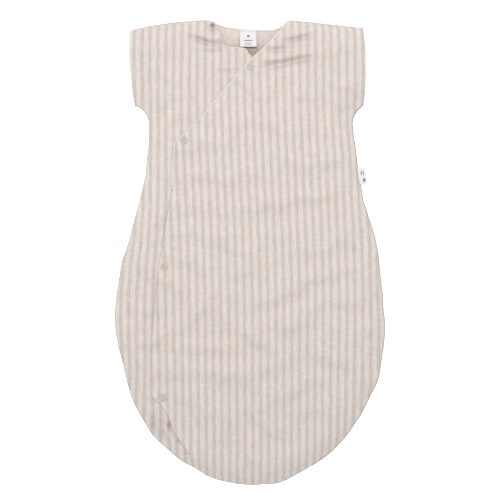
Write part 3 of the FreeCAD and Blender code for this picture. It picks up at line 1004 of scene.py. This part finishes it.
def make_under():
    cloth = panel("under_front_cloth", UNDER_LOOP, under_faces, (SPLIT, 1), STEP, under_flat)
    dress(cloth, SHELL)
    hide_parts("under_front_shell", "under_front_wadding", "under_placket_tape",
                "under_flap_shell", "under_flap_wadding", "sleeve_hem_left")
    share = (0, SPLIT - GAP)
    lining = panel("under_front_inside", UNDER_LOOP, under_faces, share, LINING_STEP, rib_flat)
    dress(lining, INSIDE)
    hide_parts("under_front_lining", "under_flap_lining")
    line = on_top(evenly(UNDER_NECK_EDGE, 2.5), under_faces, -1.4)
    edge = tube("under_neck_binding", line, 1.8, 3.4)
    dress(edge, EDGE)
    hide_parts("under_edge_binding")
    for piece in (cloth, lining, edge):
        bend(piece, UNDER_AXIS, 1)
    thread = stitches("left_sleeve_stitches", UNDER_STITCHES, under_faces)
    dress(thread, THREAD)
    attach(thread, "bag")


def make_wrap():
    cloth = panel("wrap_front_cloth", WRAP_LOOP, wrap_faces, (SPLIT, 1), STEP, wrap_flat)
    dress(cloth, SHELL)
    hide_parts("wrap_front_shell", "wrap_front_wadding", "wrap_flap_shell",
                "wrap_flap_wadding", "wrap_placket_tape", "sleeve_hem_right")
    share = (0, SPLIT - GAP)
    lining = panel("wrap_front_inside", WRAP_LOOP, wrap_faces, share, LINING_STEP, rib_flat)
    dress(lining, INSIDE)
    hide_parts("wrap_front_lining", "wrap_flap_lining")
    line = on_top(evenly(WRAP_BINDING, 2.5), wrap_faces, -1.2)
    edge = tube("wrap_neck_binding", line, 2.8, 3.8)
    dress(edge, EDGE)
    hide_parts("wrap_edge_binding")
    thread = stitches("wrap_stitches", [PLACKET_STITCH], wrap_faces)
    dress(thread, THREAD)
    for piece in (cloth, lining, edge, thread):
        bend(piece, WRAP_AXIS, -1)
    thread = stitches("right_sleeve_stitches", [RIGHT_HEM_STITCH], wrap_faces)
    dress(thread, THREAD)
    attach(thread, "bag")


def slab(name, wide, long, thick, shape):
    """A thin plate from 0 to wide and 0 to long, its middle bent by shape."""
    loop = joined(arc((0, 0), (wide, 0), step=1.2), arc((wide, 0), (wide, long), step=1.2),
                  arc((wide, long), (0, long), step=1.2), arc((0, long), (0, 0), step=1.2))
    points, tris = triangles(eased(loop), 1.4)
    rim, mirror = rim_and_mirror(points, tris)
    half = np.where(rim, 0, thick / 2)
    centre = shape(points)
    verts = np.concatenate([centre + np.outer(half, [0, 0, 1]),
                            (centre - np.outer(half, [0, 0, 1]))[~rim]])
    return mesh_object(name, verts, np.concatenate([tris, mirror[tris][:, ::-1]]))


def add_marks(name, body, marks, shape, above):
    """Plain printed marks on a label: a corner, how wide and how long."""
    for number, (corner, wide, long) in enumerate(marks):
        def mark_shape(points, corner=corner):
            return shape(points + corner) + [0, 0, above]

        mark = slab("%s_mark_%d" % (name, number), wide, long, 0.08, mark_shape)
        dress(mark, MARK)
        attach(mark, body)


NECK_MARKS = [
    ((11.0, 15.0), 3.6, 3.6),
    ((6.2, 9.4), 13, 1.4),
    ((7.4, 5.4), 10.5, 0.8),
    ((6.8, 2.6), 11.6, 0.8),
]
SIDE_MARKS = [((5.8, 3.6), 3.8, 5.4), ((4.4, 13.2), 1.3, 7.4), ((7.4, 13.2), 1.3, 7.4)]


def make_neck_label():
    """It is sewn at its top edge and curls up towards its free end."""
    a, b = (np.array(c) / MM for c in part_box("neck_label"))
    long = b[1] - a[1]

    def shape(points):
        x, y = points.T
        drop = np.clip((long - y) / 25, 0, 1.1)
        curl = 6.5 * drop**1.7 + 0.3 * np.sin(x / 8)
        over_the_tape = 1.2 * ease((y - long + 2) / 2)
        return np.column_stack([a[0] + x, a[1] + y, a[2] + 0.5 + curl + over_the_tape])

    label = slab("neck_label_cloth", b[0] - a[0], long + 1.2, 0.5, shape)
    dress(label, LABEL)
    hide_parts("neck_label")
    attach(label, "neck_label")
    add_marks("neck_label", "neck_label", NECK_MARKS, shape, 0.3)


def make_side_label():
    """It stands out from the right side seam and droops a little."""
    a, b = (np.array(c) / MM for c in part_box("side_label"))
    root, axis = hinge("side_label_bend")
    turn = math.atan2(axis[0], -axis[1])

    def shape(points):
        x, y = points.T
        x = x - 2.0
        along = np.array([-math.sin(turn), math.cos(turn)])
        out = np.array([math.cos(turn), math.sin(turn)])
        flat = root[:2] + np.outer(y, along) + np.outer(x, out)
        return np.column_stack([flat, (a[2] + b[2]) / 2 - 0.012 * x**2])

    label = slab("side_label_cloth", 12.2, 25.6, 1.2, shape)
    dress(label, LABEL)
    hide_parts("side_label")
    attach(label, "side_label")
    add_marks("side_label", "side_label", SIDE_MARKS, shape, 0.62)


# How many steps a ring has round its middle and round its thickness, and how
# much taller it is than the CAD model's flat ring, on each side.
RING_STEPS, TIP_STEPS = 48, 14
RING_EXTRA = 0.25


def rounded_ring(name):
    """A rounded ring in place of one of the flat CAD rings."""
    a, b = (np.array(c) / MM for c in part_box(name))
    centre, outer = (a + b) / 2, (b[0] - a[0]) / 2
    centre[2] += RING_EXTRA
    wide, tall = (outer - SNAP_HOLE) / 2, (b[2] - a[2]) / 2 + RING_EXTRA
    turn = np.linspace(0, 2 * np.pi, RING_STEPS, endpoint=False)[:, None]
    tip = np.linspace(0, 2 * np.pi, TIP_STEPS, endpoint=False)
    reach = outer - wide + wide * np.cos(tip)
    verts = np.stack([reach * np.cos(turn), reach * np.sin(turn),
                      tall * np.sin(tip) + 0 * turn], axis=2).reshape(-1, 3) + centre
    corner = np.arange(RING_STEPS * TIP_STEPS).reshape(RING_STEPS, TIP_STEPS)
    onward, across = np.roll(corner, -1, 0), np.roll(corner, -1, 1)
    faces = np.stack([corner, onward, np.roll(onward, -1, 1), across], axis=2).reshape(-1, 4)
    ring = dress(mesh_object(name + "_rounded", verts, faces), METAL)
    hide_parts(name)
    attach(ring, "wrap_flap")


def finish_snaps():
    for name, node in frame["nodes"].items():
        if name.endswith("_cap_ring"):
            rounded_ring(name)
        elif name.startswith("snap_"):
            node.data.materials.clear()
            node.data.materials.append(METAL)


make_back()
make_seams()
make_under()
make_wrap()
make_neck_label()
make_side_label()
finish_snaps()


# ------------------------------------------------------------ floor and camera
def make_floor():
    """A white paper floor that glows a little, so it stays white all over."""
    bpy.ops.mesh.primitive_plane_add(size=40, location=(0, 0, -0.0004))
    floor = bpy.context.object
    floor.name = "floor"
    material, _, _, main = shader("paper_floor", 1.0)
    main.inputs["Base Color"].default_value = (1, 1, 1, 1)
    main.inputs["Emission Color"].default_value = (1, 1, 1, 1)
    main.inputs["Emission Strength"].default_value = 0.45
    main.inputs["Specular IOR Level"].default_value = 0.0
    floor.data.materials.append(material)


def make_lights():
    """Soft light from all round, and one soft lamp above the head end."""
    world = bpy.data.worlds.new("studio")
    bpy.context.scene.world = world
    world.use_nodes = True
    world.node_tree.nodes["Background"].inputs["Color"].default_value = (1, 1, 1, 1)
    world.node_tree.nodes["Background"].inputs["Strength"].default_value = 0.8
    lamp = bpy.data.lights.new("window", "AREA")
    lamp.energy = 12.6
    lamp.size = 0.9
    lamp.spread = math.radians(120)
    thing = bpy.data.objects.new("window", lamp)
    thing.location = (-0.1, 0.6, 2.1)
    aim = np.array((0, 0.25, 0)) - np.array(thing.location)
    thing.rotation_euler = Vector(aim).to_track_quat("-Z", "Y").to_euler()
    bpy.context.scene.collection.objects.link(thing)


def make_camera():
    """It looks straight down, as in the photo."""
    camera = bpy.data.cameras.new("camera")
    camera.lens = 90
    camera.sensor_width = 36
    thing = bpy.data.objects.new("camera", camera)
    # The view is that many metres across, a little above the back.
    across = 0.7525
    thing.location = (0.0004, 0.0034, across * camera.lens / camera.sensor_width + 0.006)
    bpy.context.scene.collection.objects.link(thing)
    bpy.context.scene.camera = thing
    bpy.context.scene.view_settings.view_transform = "Standard"


make_floor()
make_lights()
make_camera()
